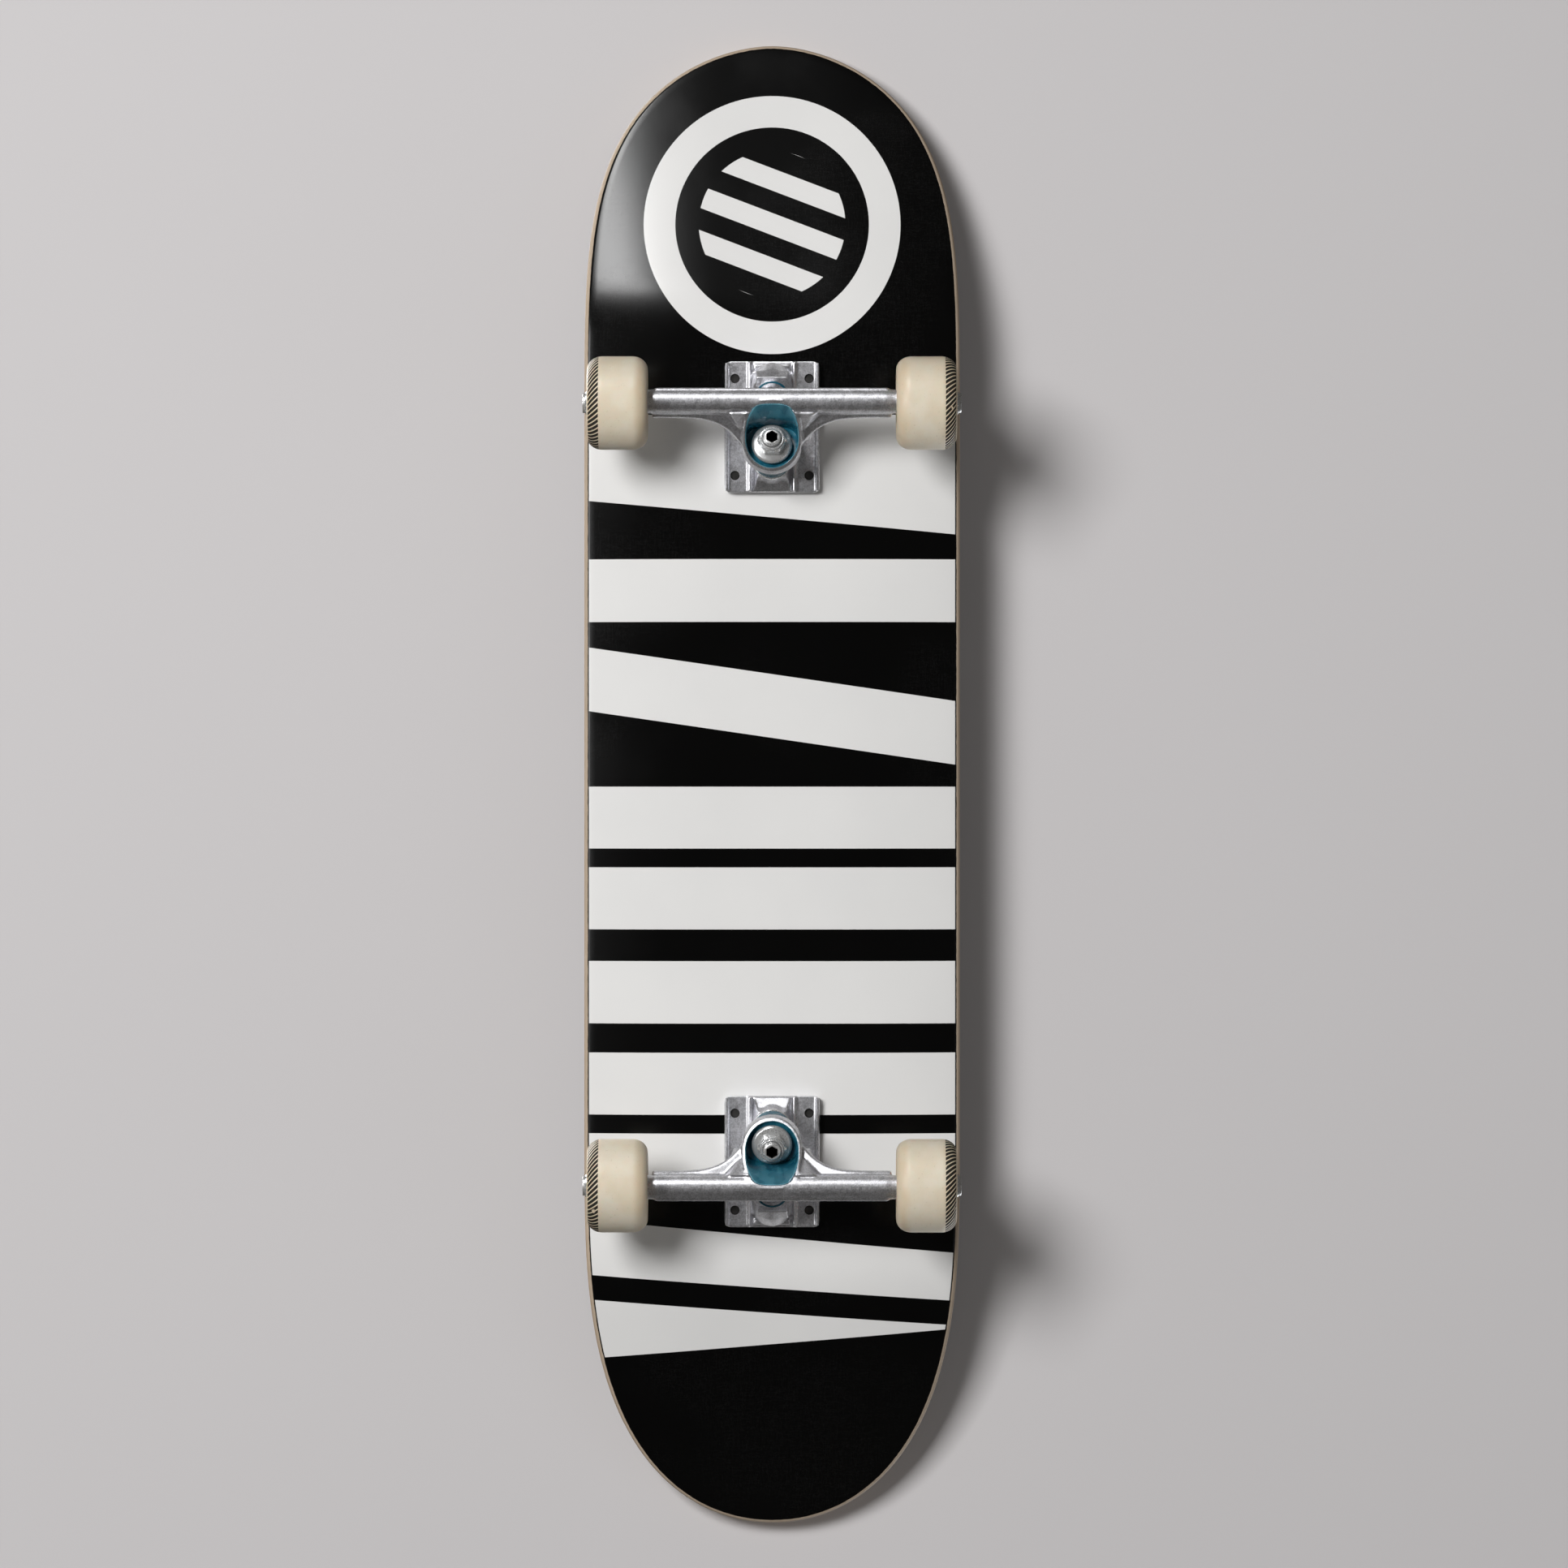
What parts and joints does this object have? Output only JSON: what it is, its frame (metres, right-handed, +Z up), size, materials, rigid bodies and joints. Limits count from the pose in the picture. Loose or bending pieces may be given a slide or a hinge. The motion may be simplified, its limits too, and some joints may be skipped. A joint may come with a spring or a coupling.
{
  "type": "skateboard",
  "caption": "Skateboard with a concave double-kick plywood deck, grip tape, cast trucks that steer on urethane bushings, and wheels on ball bearings.",
  "frame": {"origin": "on the floor below the middle of the deck, with the board standing on its wheels", "axes": "+X towards the nose, +Y across the deck to the left of a rider who faces the nose, +Z up"},
  "size_m": [0.8324, 0.2096, 0.1459],
  "materials": {
    "painted_maple": "seven-ply maple, underside printed in gloss black and white, bare rounded edge",
    "grip_grit": "coarse black abrasive sheet",
    "cast_aluminium": "satin, tumbled casting",
    "zinc_steel": "bright zinc plate",
    "black_steel": "black oxide",
    "bearing_steel": "polished race and shield",
    "teal_urethane": "semi-gloss cast urethane",
    "cream_urethane": "satin cast urethane"
  },
  "bodies": {
    "board": {"deck": "painted_maple", "grip_tape": "grip_grit", "baseplate_front": "cast_aluminium", "pivot_cup_front": "teal_urethane", "kingpin_front": "zinc_steel", "kingpin_nut_front": "zinc_steel", "cup_washer_board_front": "zinc_steel", "cup_washer_road_front": "zinc_steel", "bushing_board_front": "teal_urethane", "mounting_bolt_front_1": "black_steel", "mounting_bolt_front_2": "black_steel", "mounting_bolt_front_3": "black_steel", "mounting_bolt_front_4": "black_steel", "baseplate_rear": "cast_aluminium", "pivot_cup_rear": "teal_urethane", "kingpin_rear": "zinc_steel", "kingpin_nut_rear": "zinc_steel", "cup_washer_board_rear": "zinc_steel", "cup_washer_road_rear": "zinc_steel", "bushing_board_rear": "teal_urethane", "mounting_bolt_rear_1": "black_steel", "mounting_bolt_rear_2": "black_steel", "mounting_bolt_rear_3": "black_steel", "mounting_bolt_rear_4": "black_steel"},
    "truck_front": {"hanger_front": "cast_aluminium", "axle_front": "zinc_steel", "bushing_road_front": "teal_urethane", "bearing_inner_race_front_left_inner": "zinc_steel", "bearing_inner_race_front_left_outer": "zinc_steel", "bearing_spacer_front_left": "zinc_steel", "axle_nut_front_left": "zinc_steel", "bearing_inner_race_front_right_inner": "zinc_steel", "bearing_inner_race_front_right_outer": "zinc_steel", "bearing_spacer_front_right": "zinc_steel", "axle_nut_front_right": "zinc_steel"},
    "wheel_front_left": {"wheel_front_left": "cream_urethane", "bearing_outer_race_front_left_inner": "bearing_steel", "bearing_outer_race_front_left_outer": "bearing_steel"},
    "wheel_front_right": {"wheel_front_right": "cream_urethane", "bearing_outer_race_front_right_inner": "bearing_steel", "bearing_outer_race_front_right_outer": "bearing_steel"},
    "truck_rear": {"hanger_rear": "cast_aluminium", "axle_rear": "zinc_steel", "bushing_road_rear": "teal_urethane", "bearing_inner_race_rear_left_inner": "zinc_steel", "bearing_inner_race_rear_left_outer": "zinc_steel", "bearing_spacer_rear_left": "zinc_steel", "axle_nut_rear_left": "zinc_steel", "bearing_inner_race_rear_right_inner": "zinc_steel", "bearing_inner_race_rear_right_outer": "zinc_steel", "bearing_spacer_rear_right": "zinc_steel", "axle_nut_rear_right": "zinc_steel"},
    "wheel_rear_left": {"wheel_rear_left": "cream_urethane", "bearing_outer_race_rear_left_inner": "bearing_steel", "bearing_outer_race_rear_left_outer": "bearing_steel"},
    "wheel_rear_right": {"wheel_rear_right": "cream_urethane", "bearing_outer_race_rear_right_inner": "bearing_steel", "bearing_outer_race_rear_right_outer": "bearing_steel"}
  },
  "joints": [
    {"name": "steer_front", "type": "hinge", "parent": "board", "child": "truck_front", "pos_m": [0.18407, 0, 0.04779], "axis": [0.9098, 0, 0.4151], "range_deg": [-12, 12], "stiffness_Nm_per_rad": 14, "deforming": ["bushing_board_front", "bushing_road_front"]},
    {"name": "spin_front_left", "type": "hinge", "parent": "truck_front", "child": "wheel_front_left", "pos_m": [0.2101, 0.08525, 0.02578], "axis": [0, 1, 0], "continuous": true},
    {"name": "spin_front_right", "type": "hinge", "parent": "truck_front", "child": "wheel_front_right", "pos_m": [0.2101, -0.08525, 0.02578], "axis": [0, 1, 0], "continuous": true},
    {"name": "steer_rear", "type": "hinge", "parent": "board", "child": "truck_rear", "pos_m": [-0.19557, 0, 0.04779], "axis": [0.9098, 0, -0.4151], "range_deg": [-12, 12], "stiffness_Nm_per_rad": 14, "deforming": ["bushing_board_rear", "bushing_road_rear"]},
    {"name": "spin_rear_left", "type": "hinge", "parent": "truck_rear", "child": "wheel_rear_left", "pos_m": [-0.2216, 0.08525, 0.02578], "axis": [0, 1, 0], "continuous": true},
    {"name": "spin_rear_right", "type": "hinge", "parent": "truck_rear", "child": "wheel_rear_right", "pos_m": [-0.2216, -0.08525, 0.02578], "axis": [0, 1, 0], "continuous": true}
  ]
}
